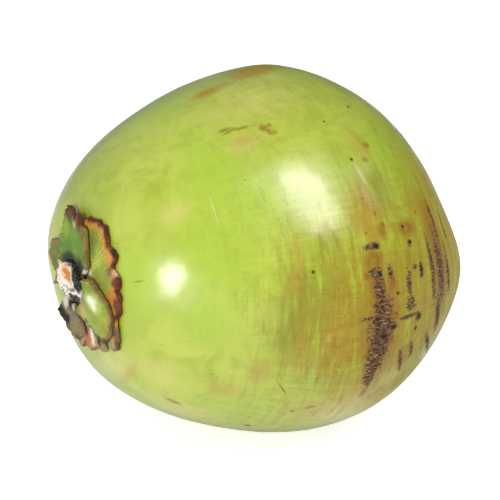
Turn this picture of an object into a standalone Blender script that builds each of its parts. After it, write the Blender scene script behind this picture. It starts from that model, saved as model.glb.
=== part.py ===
"""Green coconut lying on its side: the husk, the stem scar and the six tepals of its cap.

Metres, +Z up. The fruit's own axis lies along X, with the stem end at -X and the tip at +X.
A place on the fruit is given by two angles: polar, from the stem end (0) to the tip (pi), and
turn, about the axis from the front at -Y (0) over the top at +Z (pi/2).
"""
import math
from dataclasses import dataclass

import bmesh
import bpy
import numpy as np
from mathutils import Matrix

MM = 0.001

# The husk: its radius from the middle at nine stations from the stem end to the tip.
STATION_DEGREES = (0, 20, 40, 65, 90, 115, 140, 160, 180)
STATION_RADII_MM = (98.9, 101.5, 96.3, 89.4, 90.0, 91.8, 92.8, 95.5, 100.4)
KEELS = 3
KEEL_TURN = math.radians(97.8)
KEEL_AT_STEM = -0.007
KEEL_AT_TIP = 0.035
OVAL = 0.045
OVAL_TURN = math.radians(-21.7)
# Low swellings: height, polar and turn of the middle, all with the same reach.
SWELLINGS = (
    (1.5 * MM, math.radians(99.0), math.radians(100.3)),
    (4.0 * MM, math.radians(141.2), math.radians(-3.9)),
    (1.8 * MM, math.radians(21.5), math.radians(171.0)),
)
SWELLING_REACH = 0.22
FLAT_SPOT_DEPTH = 1.1 * MM
HUSK_RINGS = 44
HUSK_SIDES = 68
RING_CROWDING = 1.45

# The hollow at the stem end that the cap of tepals sits in.
SEAT_DEPTH = 3.8 * MM
SEAT_FLOOR = 20.0 * MM
SEAT_RIM = 42.0 * MM

# The cap. Distances from the middle of the stem scar run along the skin.
GAP = 0.4 * MM
SCAR_RADIUS = 9.4 * MM
SCAR_HEIGHT = 7.4 * MM
SCAR_SLANT = 2.6 * MM
SCAR_HIGH_SIDE = math.radians(125)
SCAR_HOLLOW = 1.2 * MM
SCAR_HOLLOW_REACH = 4.5 * MM
SCAR_SQUARENESS = 0.4
SCAR_SIDES = 28
SCAR_RINGS = 12
TEPAL_ROOT = 10.6 * MM
THICK_AT_ROOT = 2.1 * MM
THICK_AT_RIM = 1.2 * MM
THIN_FROM = 12.0 * MM
THIN_TO = 38.0 * MM
RIM_ROUNDING = 0.03
TEPAL_ROWS = 5

SKIN = (0.47, 0.60, 0.13)
PETAL_GREEN = (0.36, 0.45, 0.08)
SEPAL_GREEN = (0.22, 0.40, 0.05)
DRY_BROWN = (0.25, 0.17, 0.10)
SCAR_WOOD = (0.62, 0.52, 0.40)


def spline_through(stations, values):
    """A cubic curve through the stations, level at both ends, as a function of the station."""
    steps = np.diff(stations)
    rises = np.diff(values) / steps
    system = np.eye(len(stations))
    right = np.zeros(len(stations))
    for i in range(1, len(stations) - 1):
        before, after = 1 / steps[i - 1], 1 / steps[i]
        system[i, i - 1:i + 2] = before, 2 * (before + after), after
        right[i] = 3 * (rises[i - 1] * before + rises[i] * after)
    slopes = np.linalg.solve(system, right)

    def value(at):
        i = np.clip(np.searchsorted(stations, at) - 1, 0, len(steps) - 1)
        t = (at - stations[i]) / steps[i]
        rise = values[i + 1] - values[i]
        bend_in = slopes[i] * steps[i] - rise
        bend_out = rise - slopes[i + 1] * steps[i]
        return values[i] + t * rise + t * (1 - t) * ((1 - t) * bend_in + t * bend_out)

    return value


profile = spline_through(np.radians(STATION_DEGREES), np.array(STATION_RADII_MM) * MM)


def smooth_step(x, low, high):
    """0 below low, 1 above high, and a smooth rise between."""
    t = np.clip((x - low) / (high - low), 0, 1)
    return t * t * (3 - 2 * t)


def skin_radius(polar, turn):
    """Distance of the full, undented skin from the fruit's middle."""
    toward_tip = (1 - np.cos(polar)) / 2
    across = np.sin(polar) ** 2
    keel = (KEEL_AT_STEM + (KEEL_AT_TIP - KEEL_AT_STEM) * toward_tip) * across
    radius = profile(polar) * (
        1 + keel * np.cos(KEELS * (turn - KEEL_TURN)) + OVAL * across * np.cos(2 * (turn - OVAL_TURN))
    )
    for height, at_polar, at_turn in SWELLINGS:
        cosine = (np.sin(polar) * math.sin(at_polar) * np.cos(turn - at_turn)
                  + np.cos(polar) * math.cos(at_polar))
        away = np.arccos(np.clip(cosine, -1, 1))
        radius = radius + height * np.exp(-(away / SWELLING_REACH) ** 2)
    return radius


def polar_of_reach(reach):
    """The polar angle whose distance from the stem scar, along the skin, is reach."""
    polars = np.linspace(0, math.pi / 2, 181)
    radii = profile(polars)
    steps = np.hypot(np.diff(radii), radii[1:] * np.diff(polars))
    return np.interp(reach, np.concatenate([[0], np.cumsum(steps)]), polars)


SEAT_POLARS = (float(polar_of_reach(SEAT_FLOOR)), float(polar_of_reach(SEAT_RIM)))


def point(polar, turn, rise=0.0):
    """The point of the husk's skin, seat and all, at two angles, raised by rise."""
    seat = SEAT_DEPTH * (1 - smooth_step(polar, *SEAT_POLARS))
    radius = skin_radius(polar, turn) - seat + rise
    around = radius * np.sin(polar)
    return np.array((-radius * np.cos(polar), -around * np.cos(turn), around * np.sin(turn)))


def tepal_thickness(reach):
    """Thickness of a tepal, which thins from its root to its rim."""
    t = np.clip((reach - THIN_FROM) / (THIN_TO - THIN_FROM), 0, 1)
    return THICK_AT_ROOT + (THICK_AT_RIM - THICK_AT_ROOT) * t


def material(name, colour, roughness):
    made = bpy.data.materials.new(name)
    made.use_nodes = True
    shader = made.node_tree.nodes["Principled BSDF"]
    shader.inputs["Base Color"].default_value = (*colour, 1)
    shader.inputs["Roughness"].default_value = roughness
    shader.inputs["Metallic"].default_value = 0
    made.diffuse_color = (*colour, 1)
    return made


def add_object(name, mesh_maker, collection, finish):
    """Turns a bmesh into a smooth-shaded object of the collection."""
    mesh = bpy.data.meshes.new(name)
    mesh_maker.to_mesh(mesh)
    mesh_maker.free()
    mesh.materials.append(finish)
    mesh.shade_smooth()
    mesh.set_sharp_from_angle(angle=math.radians(50))
    made = bpy.data.objects.new(name, mesh)
    collection.objects.link(made)
    return made


def unit_ball(sides, rings):
    """A sphere whose poles lie along X, with -X at its first ring."""
    ball = bmesh.new()
    turned = Matrix.Rotation(math.radians(-90), 4, "Y")
    bmesh.ops.create_uvsphere(ball, u_segments=sides, v_segments=rings, radius=1, matrix=turned)
    return ball


def angles_of(place):
    """Polar and turn of a point of the unit ball."""
    polar = math.acos(max(-1.0, min(1.0, -place.x)))
    return polar, math.atan2(place.z, -place.y)


def husk(collection):
    """The whole fruit: three blunt keels, a seat for the cap and a flat spot to rest on."""
    ball = unit_ball(HUSK_SIDES, HUSK_RINGS)
    for vertex in ball.verts:
        polar, turn = angles_of(vertex.co)
        crowded = math.pi * (polar / math.pi) ** RING_CROWDING
        vertex.co = point(crowded, turn)
    flat_height = min(vertex.co.z for vertex in ball.verts) + FLAT_SPOT_DEPTH
    cut = bmesh.ops.bisect_plane(
        ball, geom=ball.verts[:] + ball.edges[:] + ball.faces[:],
        plane_co=(0, 0, flat_height), plane_no=(0, 0, -1), clear_outer=True,
    )
    rim = [edge for edge in cut["geom_cut"] if isinstance(edge, bmesh.types.BMEdge)]
    bmesh.ops.holes_fill(ball, edges=rim)
    bmesh.ops.recalc_face_normals(ball, faces=ball.faces[:])
    return add_object("husk", ball, collection, material("green_skin", SKIN, 0.3))


@dataclass(frozen=True)
class Tepal:
    """One leathery tepal, fanned out from its root round the stem scar.

    facing is the turn of its middle line and half_fan the angle to each side. A sepal lies over
    the petals and has a half_width, which makes it a rounded blade. Each notch of the rim is
    (turn, depth in mm, half width), or a point of it where the depth is negative. sweep turns the
    tip aside and lift curls the rim up. Angles are in degrees.
    """

    name: str
    facing: float
    half_fan: float
    reach: float
    notches: tuple = ()
    half_width: float = 0.0
    sweep: float = 0.0
    lift: float = 0.0
    columns: int = 32
    colour: tuple = PETAL_GREEN
    roughness: float = 0.4

    def rim(self, aside):
        """Reach of the rim, aside degrees from the middle line."""
        rim = self.reach * (1 - RIM_ROUNDING * (aside / self.half_fan) ** 4)
        if self.half_width:
            side = self.half_width / max(abs(math.sin(math.radians(aside))), 0.05)
            rim = (rim ** -6 + side ** -6) ** (-1 / 6)
        for turn, depth, half in self.notches:
            rim -= depth * MM * math.exp(-((self.facing + aside - turn) / half) ** 2)
        return rim

    def underside(self, reach):
        """Height of the underside over the seat."""
        if self.half_width:
            return 2 * GAP + tepal_thickness(reach)
        return GAP

    def place(self, across, along):
        """Reach from the scar and place of a point of the underside, by its two shares."""
        aside = (2 * across - 1) * self.half_fan
        reach = TEPAL_ROOT + (self.rim(aside) - TEPAL_ROOT) * along
        turn = math.radians(self.facing + aside + self.sweep * along)
        rise = self.underside(reach) + self.lift * along ** 3
        return reach, point(polar_of_reach(reach), turn, rise)


TEPALS = (
    Tepal("petal_front", facing=20, half_fan=57, reach=40.4 * MM, columns=60,
          notches=((88, 8.8, 18), (66, 0.8, 6), (50, -0.5, 5), (40, 2.8, 3.2), (32, -1.2, 4),
                   (24, 3.0, 4.0), (8, 1.8, 3.0), (-2, 0.8, 5), (-13, 2.2, 4.0), (-33, -2.2, 9))),
    Tepal("petal_back", facing=140, half_fan=57, reach=31.0 * MM,
          notches=((90, 3.0, 9), (122, 6.0, 12), (141, 5.0, 8), (160, 1.0, 5), (184, 7.0, 10))),
    Tepal("petal_lower", facing=-90, half_fan=48, reach=32.2 * MM,
          notches=((-46, -5.0, 7), (-62, 0.5, 4), (-79, 3.6, 5), (-100, 2.5, 5), (-132, 4.0, 12)),
          roughness=0.6),
    Tepal("sepal_top", facing=84, half_fan=58, reach=34.8 * MM, half_width=15.6 * MM,
          notches=((73.5, 4.0, 3.2), (64, 2.6, 6), (104, 6.0, 8), (122, 7.0, 14)), sweep=12,
          columns=48, colour=SEPAL_GREEN),
    Tepal("sepal_front", facing=-18, half_fan=42, reach=37.5 * MM, half_width=12.4 * MM,
          notches=((-4, 1.0, 3), (-48, 6.0, 16)), sweep=-4, columns=32, colour=SEPAL_GREEN,
          roughness=0.25),
    Tepal("sepal_lower", facing=-108, half_fan=34, reach=26.2 * MM, half_width=17.0 * MM,
          notches=((-142, -1.2, 6), (-124, 2.0, 4.5), (-106, 1.5, 4)), sweep=6, lift=1.2 * MM,
          columns=30, colour=DRY_BROWN, roughness=0.8),
)


def tepal(shape, collection):
    """An open sheet on the seat, thickened outwards and thinning to its notched rim."""
    sheet = bmesh.new()
    bmesh.ops.create_grid(sheet, x_segments=shape.columns, y_segments=TEPAL_ROWS, size=0.5)
    reaches = {}
    for vertex in sheet.verts:
        reach, vertex.co = shape.place(0.5 - vertex.co.x, vertex.co.y + 0.5)
        reaches[vertex.index] = reach
    finish = material(shape.name + "_skin", shape.colour, shape.roughness)
    made = add_object(shape.name, sheet, collection, finish)
    body = made.vertex_groups.new(name="thickness")
    for index, reach in reaches.items():
        body.add([index], float(tepal_thickness(reach)) / THICK_AT_ROOT, "REPLACE")
    thicken = made.modifiers.new("thickness", "SOLIDIFY")
    thicken.thickness = THICK_AT_ROOT
    thicken.offset = 1
    thicken.vertex_group = body.name
    return made


def stem_scar(collection):
    """The broken end of the fruit stalk: a slanted lobed stump with a hollow top."""
    ball = unit_ball(SCAR_SIDES, SCAR_RINGS)
    for vertex in ball.verts:
        polar, turn = angles_of(vertex.co)
        lobes = 1 + 0.04 * math.cos(3 * turn + 1) + 0.02 * math.cos(7 * turn)
        reach = SCAR_RADIUS * lobes * abs(math.sin(polar)) ** SCAR_SQUARENESS
        level = math.copysign(abs(math.cos(polar)) ** SCAR_SQUARENESS, math.cos(polar))
        height = SCAR_HEIGHT + SCAR_SLANT * math.cos(turn - SCAR_HIGH_SIDE) * reach / SCAR_RADIUS
        rise = GAP + height * (1 + level) / 2
        if level > 0:
            rise -= SCAR_HOLLOW * math.exp(-(reach / SCAR_HOLLOW_REACH) ** 2)
        vertex.co = point(polar_of_reach(reach), turn, rise)
    return add_object("stem_scar", ball, collection, material("scar_wood", SCAR_WOOD, 0.85))


def stand_on_origin(parts, carrier):
    """Moves the carrier so that the fruit's box stands centred on the origin."""
    evaluated = bpy.context.evaluated_depsgraph_get()
    corners = np.array([c for part in parts for c in part.evaluated_get(evaluated).bound_box])
    low, high = corners.min(axis=0), corners.max(axis=0)
    carrier.location = (-(low[0] + high[0]) / 2, -(low[1] + high[1]) / 2, -low[2])


def main():
    for old in list(bpy.data.objects):
        bpy.data.objects.remove(old)
    collection = bpy.data.collections.new("green_coconut")
    bpy.context.scene.collection.children.link(collection)
    parts = [husk(collection), stem_scar(collection)]
    parts += [tepal(shape, collection) for shape in TEPALS]
    carrier = bpy.data.objects.new("coconut_origin", None)
    collection.objects.link(carrier)
    for made in parts:
        made.parent = carrier
    stand_on_origin(parts, carrier)


main()
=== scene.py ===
"""The looks of a green coconut on its side: waxy husk, cap of leathery tepals and stem scar.

Metres, +Z up. A place on the fruit is given by two angles about its middle: polar, from the
stem end at -X (0) to the tip at +X (180), and turn, about the axis from the front at -Y (0)
over the top at +Z (90).
"""
import functools
import logging
import math
import operator
from dataclasses import dataclass
from enum import Enum

import bmesh
import bpy
import numpy as np
from mathutils import Matrix, Vector


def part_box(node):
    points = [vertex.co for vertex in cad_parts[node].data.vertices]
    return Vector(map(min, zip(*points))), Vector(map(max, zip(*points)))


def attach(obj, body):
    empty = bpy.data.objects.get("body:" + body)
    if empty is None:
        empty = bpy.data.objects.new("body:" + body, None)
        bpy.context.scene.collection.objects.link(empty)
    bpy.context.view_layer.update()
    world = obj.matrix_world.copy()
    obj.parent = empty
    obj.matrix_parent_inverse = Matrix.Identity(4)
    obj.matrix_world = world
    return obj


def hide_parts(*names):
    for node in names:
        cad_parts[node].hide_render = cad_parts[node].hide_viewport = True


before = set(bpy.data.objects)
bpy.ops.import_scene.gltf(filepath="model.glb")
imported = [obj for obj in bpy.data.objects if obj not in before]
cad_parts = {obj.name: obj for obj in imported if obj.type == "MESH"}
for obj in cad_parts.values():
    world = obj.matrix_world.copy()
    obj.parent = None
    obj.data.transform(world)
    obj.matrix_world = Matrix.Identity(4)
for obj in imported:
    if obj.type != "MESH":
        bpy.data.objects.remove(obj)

LOG = logging.getLogger("green_coconut")
MM = 0.001

Colour = tuple[int, int, int]
Socket = bpy.types.NodeSocket


def srgb(red: int, green: int, blue: int) -> tuple[float, float, float, float]:
    """A screen colour as Blender's linear colour.

    Args:
        red: Red, from 0 to 255.
        green: Green, from 0 to 255.
        blue: Blue, from 0 to 255.

    Returns:
        The linear colour, opaque.
    """
    def linear(value: int) -> float:
        """The linear share of one channel."""
        share = value / 255
        return share / 12.92 if share <= 0.04045 else ((share + 0.055) / 1.055) ** 2.4

    return linear(red), linear(green), linear(blue), 1.0


def smooth_step(x: np.ndarray, low: float, high: float) -> np.ndarray:
    """0 below low, 1 above high, and a smooth rise between."""
    t = np.clip((x - low) / (high - low), 0, 1)
    return t * t * (3 - 2 * t)


def bell(x: np.ndarray, at: float, half: float) -> np.ndarray:
    """1 at a value, falling away over half on either side."""
    return np.exp(-((x - at) / half) ** 2)


def corner_heights(corners: np.ndarray) -> np.ndarray:
    """Repeatable random heights.

    Args:
        corners: Whole-number places, one per row.

    Returns:
        A height for each, from -1 to 1.
    """
    x, y, z = (corners[:, axis].astype(np.uint32) for axis in range(3))
    mixed = x * np.uint32(374761393) + y * np.uint32(668265263) + z * np.uint32(1442695041)
    mixed = (mixed ^ (mixed >> 13)) * np.uint32(1274126177)
    return (mixed ^ (mixed >> 16)) / 2.0 ** 31 - 1


def cloudy(points: np.ndarray, size: float, octaves: int = 3, shift: float = 0.0) -> np.ndarray:
    """Soft random heights, about -1 to 1, that are the same on every run.

    Args:
        points: Places in metres, one per row.
        size: Width of the largest lumps, in metres.
        octaves: How many layers there are, each half as large and as strong as the last.
        shift: Moves the pattern, so that two uses differ.

    Returns:
        One height per place.
    """
    total = np.zeros(len(points))
    for octave in range(octaves):
        at = points * (2 ** octave / size) + shift + 17.3 * octave
        low = np.floor(at)
        share = at - low
        share = share * share * (3 - 2 * share)
        corner = low.astype(np.int64)
        for step in np.ndindex(2, 2, 2):
            weight = np.where(step, share, 1 - share).prod(axis=1)
            total += weight * corner_heights(corner + np.array(step)) / 2 ** octave
    return total


class Profile:
    """A cubic curve through stations, level at both ends."""

    def __init__(self, stations: np.ndarray, values: np.ndarray) -> None:
        """Solves for the slopes that make the curve smooth.

        Args:
            stations: Rising places along the curve.
            values: The curve's value at each.
        """
        self.stations = stations
        self.values = values
        self.steps = np.diff(stations)
        rises = np.diff(values) / self.steps
        system = np.eye(len(stations))
        right = np.zeros(len(stations))
        for i in range(1, len(stations) - 1):
            before, after = 1 / self.steps[i - 1], 1 / self.steps[i]
            system[i, i - 1:i + 2] = before, 2 * (before + after), after
            right[i] = 3 * (rises[i - 1] * before + rises[i] * after)
        self.slopes = np.linalg.solve(system, right)

    def __call__(self, at: np.ndarray) -> np.ndarray:
        """Reads the curve.

        Args:
            at: Places along it.

        Returns:
            Its value at each.
        """
        i = np.clip(np.searchsorted(self.stations, at) - 1, 0, len(self.steps) - 1)
        t = (at - self.stations[i]) / self.steps[i]
        rise = self.values[i + 1] - self.values[i]
        bend_in = self.slopes[i] * self.steps[i] - rise
        bend_out = rise - self.slopes[i + 1] * self.steps[i]
        return self.values[i] + t * rise + t * (1 - t) * ((1 - t) * bend_in + t * bend_out)


@dataclass(frozen=True)
class Swelling:
    """A low rise of the husk."""

    height: float
    polar: float
    turn: float
    reach: float = 12.6


@dataclass(frozen=True)
class FruitForm:
    """The form that the solids were made to, about the fruit's own middle.

    Lengths are in metres and angles in degrees, except in the arrays that its methods take,
    which are in radians.
    """

    station_degrees: tuple[float, ...] = (0, 20, 40, 65, 90, 115, 140, 160, 180)
    station_radii: tuple[float, ...] = (98.9, 101.5, 96.3, 89.4, 90.0, 91.8, 92.8, 95.5, 100.4)
    keels: int = 3
    keel_turn: float = 97.8
    keel_at_stem: float = -0.007
    keel_at_tip: float = 0.035
    oval: float = 0.045
    oval_turn: float = -21.7
    swellings: tuple[Swelling, ...] = (
        Swelling(1.5 * MM, 99.0, 100.3),
        Swelling(4.0 * MM, 141.2, -3.9),
        Swelling(1.8 * MM, 21.5, 171.0),
    )
    seat_depth: float = 3.8 * MM
    seat_floor: float = 20.0 * MM
    seat_rim: float = 42.0 * MM
    gap: float = 0.4 * MM
    tepal_root: float = 10.6 * MM
    thick_at_root: float = 2.1 * MM
    thick_at_rim: float = 1.2 * MM
    thin_from: float = 12.0 * MM
    thin_to: float = 38.0 * MM

    def profile(self, polar: np.ndarray) -> np.ndarray:
        """Mean radius at each polar angle."""
        curve = Profile(np.radians(self.station_degrees), np.array(self.station_radii) * MM)
        return curve(polar)

    def skin_radius(self, polar: np.ndarray, turn: np.ndarray) -> np.ndarray:
        """Radius of the full, undented skin.

        Args:
            polar: Polar angles, in radians.
            turn: Turns, in radians.

        Returns:
            The radius at each place.
        """
        toward_tip = (1 - np.cos(polar)) / 2
        across = np.sin(polar) ** 2
        keel = (self.keel_at_stem + (self.keel_at_tip - self.keel_at_stem) * toward_tip) * across
        ridges = keel * np.cos(self.keels * (turn - math.radians(self.keel_turn)))
        oval = self.oval * across * np.cos(2 * (turn - math.radians(self.oval_turn)))
        radius = self.profile(polar) * (1 + ridges + oval)
        for rise in self.swellings:
            radius = radius + rise.height * self.near(polar, turn, rise.polar, rise.turn, rise.reach)
        return radius

    @staticmethod
    def near(polar: np.ndarray, turn: np.ndarray, at_polar: float, at_turn: float,
             reach: float) -> np.ndarray:
        """1 at a place on the fruit, falling away over reach degrees.

        Args:
            polar: Polar angles, in radians.
            turn: Turns, in radians.
            at_polar: Polar angle of the place, in degrees.
            at_turn: Turn of the place, in degrees.
            reach: How far it reaches, in degrees.

        Returns:
            A share for each place asked for.
        """
        to_polar, to_turn = math.radians(at_polar), math.radians(at_turn)
        cosine = (np.sin(polar) * math.sin(to_polar) * np.cos(turn - to_turn)
                  + np.cos(polar) * math.cos(to_polar))
        away = np.arccos(np.clip(cosine, -1, 1))
        return bell(away, 0, math.radians(reach))

    def polar_of_reach(self, reach: np.ndarray) -> np.ndarray:
        """Polar angle of places along the skin.

        Args:
            reach: Distances from the stem end along the skin, in metres.

        Returns:
            The angles, in radians.
        """
        polars = np.linspace(0, math.pi / 2, 181)
        radii = self.profile(polars)
        steps = np.hypot(np.diff(radii), radii[1:] * np.diff(polars))
        return np.interp(reach, np.concatenate([[0], np.cumsum(steps)]), polars)

    def place(self, polar: np.ndarray, turn: np.ndarray, rise: np.ndarray | float = 0.0) -> np.ndarray:
        """Points over the husk's skin, seat and all, about the fruit's middle.

        Args:
            polar: Polar angles, in radians.
            turn: Turns, in radians.
            rise: Height over the skin, in metres.

        Returns:
            One point per row.
        """
        floor, rim = self.polar_of_reach(np.array([self.seat_floor, self.seat_rim]))
        seat = self.seat_depth * (1 - smooth_step(polar, floor, rim))
        radius = self.skin_radius(polar, turn) - seat + rise
        around = radius * np.sin(polar)
        return np.stack([-radius * np.cos(polar), -around * np.cos(turn), around * np.sin(turn)], axis=-1)

    def tepal_thickness(self, reach: np.ndarray) -> np.ndarray:
        """Thickness of a tepal at each distance from the stem scar."""
        t = np.clip((reach - self.thin_from) / (self.thin_to - self.thin_from), 0, 1)
        return self.thick_at_root + (self.thick_at_rim - self.thick_at_root) * t

    def middle(self) -> np.ndarray:
        """Where the fixed frame holds the fruit's middle, from the husk's own box.

        Returns:
            The place, in metres.
        """
        low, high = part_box("husk")
        polar, turn = np.meshgrid(np.linspace(0, math.pi, 181), np.linspace(-math.pi, math.pi, 361))
        full = self.place(polar, turn).reshape(-1, 3)
        sideways = (low.y + high.y) / 2 - (full[:, 1].min() + full[:, 1].max()) / 2
        return np.array([high.x - full[:, 0].max(), sideways, high.z - full[:, 2].max()])


@dataclass(frozen=True)
class Lumps:
    """A cloudy pattern: lumps per unit, finer layers, their strength, and how bent it is."""

    scale: float
    detail: float = 3.0
    rough: float = 0.55
    warp: float = 0.0


class Field:
    """A value or colour that changes over a surface: a node's output, for plain arithmetic."""

    def __init__(self, graph: "Graph", socket: Socket) -> None:
        """Holds the output and the graph that it is in."""
        self.graph, self.socket = graph, socket

    def __add__(self, other: object) -> "Field":
        """The sum."""
        return self.graph.math("ADD", self, other)

    def __sub__(self, other: object) -> "Field":
        """The difference."""
        return self.graph.math("SUBTRACT", self, other)

    def __rsub__(self, other: float) -> "Field":
        """The difference from a plain number."""
        return self.graph.math("SUBTRACT", other, self)

    def __mul__(self, other: object) -> "Field":
        """The product."""
        return self.graph.math("MULTIPLY", self, other)

    def __truediv__(self, other: object) -> "Field":
        """The quotient."""
        return self.graph.math("DIVIDE", self, other)

    def __or__(self, other: object) -> "Field":
        """The larger of the two."""
        return self.graph.math("MAXIMUM", self, other)

    def rise(self, low: object, high: object) -> "Field":
        """0 below low, 1 above high, and a smooth rise between."""
        return self.graph.ramp(self, low, high, 0.0, 1.0, "SMOOTHSTEP")

    def fall(self, low: object, high: object) -> "Field":
        """1 below low, 0 above high, and a smooth fall between."""
        return self.graph.ramp(self, high, low, 0.0, 1.0, "SMOOTHSTEP")

    def span(self, low: float, high: float) -> "Field":
        """A 0 to 1 value spread over low to high."""
        return self.graph.ramp(self, 0.0, 1.0, low, high, "LINEAR")

    def lay(self, tone: object, share: object) -> "Field":
        """This colour with a tone laid over a share of it."""
        return self.graph.mix(share, self, tone)


class Graph:
    """A node tree in the making: each method adds a node and gives its output."""

    def __init__(self, tree: bpy.types.NodeTree) -> None:
        """Takes the tree to add to."""
        self.tree = tree

    def feed(self, socket: Socket, value: object) -> None:
        """Links a field to a socket, or sets the socket's own value.

        Args:
            socket: The input to feed.
            value: A field or a plain value.
        """
        if isinstance(value, Field):
            self.tree.links.new(value.socket, socket)
        else:
            socket.default_value = value

    def node(self, kind: str, values: dict[object, object], **settings: object) -> bpy.types.Node:
        """Adds a node.

        Args:
            kind: The node's type.
            values: Input name or number to a plain value or a field.
            settings: The node's own settings.

        Returns:
            The node.
        """
        made = self.tree.nodes.new(kind)
        for name, setting in settings.items():
            setattr(made, name, setting)
        for name, value in values.items():
            self.feed(made.inputs[name], value)
        return made

    def output(self, name: object, kind: str, values: dict[object, object] | None = None,
               **settings: object) -> Field:
        """Adds a node as node does, and gives its output of a name or number."""
        return Field(self, self.node(kind, values or {}, **settings).outputs[name])

    def math(self, operation: str, *values: object) -> Field:
        """An operation on one to three values."""
        return self.output(0, "ShaderNodeMath", dict(enumerate(values)), operation=operation)

    def vector(self, operation: str, *values: object) -> Field:
        """An operation on vectors; a length or a dot product gives a value."""
        name = "Value" if operation in ("LENGTH", "DOT_PRODUCT") else "Vector"
        return self.output(name, "ShaderNodeVectorMath", dict(enumerate(values)), operation=operation)

    def combine(self, *values: object) -> Field:
        """A vector from three values."""
        return self.output(0, "ShaderNodeCombineXYZ", dict(enumerate(values)))

    def ramp(self, value: Field, low: object, high: object, first: float, last: float, kind: str) -> Field:
        """A value carried from one range to another.

        Args:
            value: The value.
            low: Where the range begins.
            high: Where it ends.
            first: What the beginning becomes.
            last: What the end becomes.
            kind: How the map node goes between them.

        Returns:
            The new value.
        """
        return self.output(0, "ShaderNodeMapRange", {
            "Value": value, "From Min": low, "From Max": high, "To Min": first, "To Max": last,
        }, interpolation_type=kind)

    def mix(self, share: object, first: object, second: object) -> Field:
        """A colour between two.

        Args:
            share: Share of the second.
            first: A field, or a screen colour.
            second: A field, or a screen colour.

        Returns:
            The colour.
        """
        tones = [srgb(*tone) if isinstance(tone, tuple) else tone for tone in (first, second)]
        return self.output(2, "ShaderNodeMix", {0: share, 6: tones[0], 7: tones[1]}, data_type="RGBA")

    def noise(self, vector: Field, lumps: Lumps, stretch: tuple[float, ...] = ()) -> Field:
        """A cloudy value, about 0 to 1.

        Args:
            vector: Coordinates to read it at.
            lumps: The pattern.
            stretch: Scales of the first two coordinates, where they differ.

        Returns:
            The value.
        """
        at = self.vector("MULTIPLY", vector, (*stretch, 1.0)) if stretch else vector
        return self.output(0, "ShaderNodeTexNoise", {
            "Vector": at, "Scale": lumps.scale, "Detail": lumps.detail, "Roughness": lumps.rough,
            "Distortion": lumps.warp,
        })

    def cells(self, vector: Field, scale: float) -> Field:
        """Distance to the nearest of scattered points."""
        return self.output("Distance", "ShaderNodeTexVoronoi", {"Vector": vector, "Scale": scale})

    def attribute(self, name: str) -> Field:
        """A value stored on the mesh's points."""
        return self.output("Fac", "ShaderNodeAttribute", attribute_name=name)

    def position(self) -> Field:
        """The object's own coordinates, in metres."""
        return self.output("Object", "ShaderNodeTexCoord")

    def use(self, group: bpy.types.NodeTree, values: dict[object, object]) -> dict[str, Field]:
        """Places a shader node group.

        Args:
            group: The group.
            values: Input name to a plain value or a field.

        Returns:
            The group's outputs by name.
        """
        made = self.node("ShaderNodeGroup", {}, node_tree=group)
        for name, value in values.items():
            self.feed(made.inputs[name], value)
        return {output.name: Field(self, output) for output in made.outputs}

    def bump(self, height: Field, distance: float, strength: float) -> Field:
        """A normal bent by a height.

        Args:
            height: A 0 to 1 height.
            distance: What a height of 1 stands for, in metres.
            strength: Share of the full effect.

        Returns:
            The normal.
        """
        return self.output(0, "ShaderNodeBump", {
            "Strength": strength, "Distance": distance, "Height": height,
        })


FLOAT = "NodeSocketFloat"
VECTOR = "NodeSocketVector"


class GroupMaker(Graph):
    """A shader node group in the making, with named inputs and outputs."""

    def __init__(self, name: str, inputs: dict[str, tuple[str, object]], outputs: dict[str, str]) -> None:
        """Makes the group's tree and its sockets.

        Args:
            name: The group's name.
            inputs: Input name to its socket type and default.
            outputs: Output name to its socket type.
        """
        super().__init__(bpy.data.node_groups.new(name, "ShaderNodeTree"))
        for socket_name, (kind, default) in inputs.items():
            made = self.tree.interface.new_socket(name=socket_name, in_out="INPUT", socket_type=kind)
            made.default_value = default
        for socket_name, kind in outputs.items():
            self.tree.interface.new_socket(name=socket_name, in_out="OUTPUT", socket_type=kind)
        entry = self.node("NodeGroupInput", {})
        self.given = {socket.name: Field(self, socket) for socket in entry.outputs}

    def put_out(self, results: dict[object, object]) -> bpy.types.NodeTree:
        """Links the results to the group's outputs."""
        self.node("NodeGroupOutput", results)
        return self.tree


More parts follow.
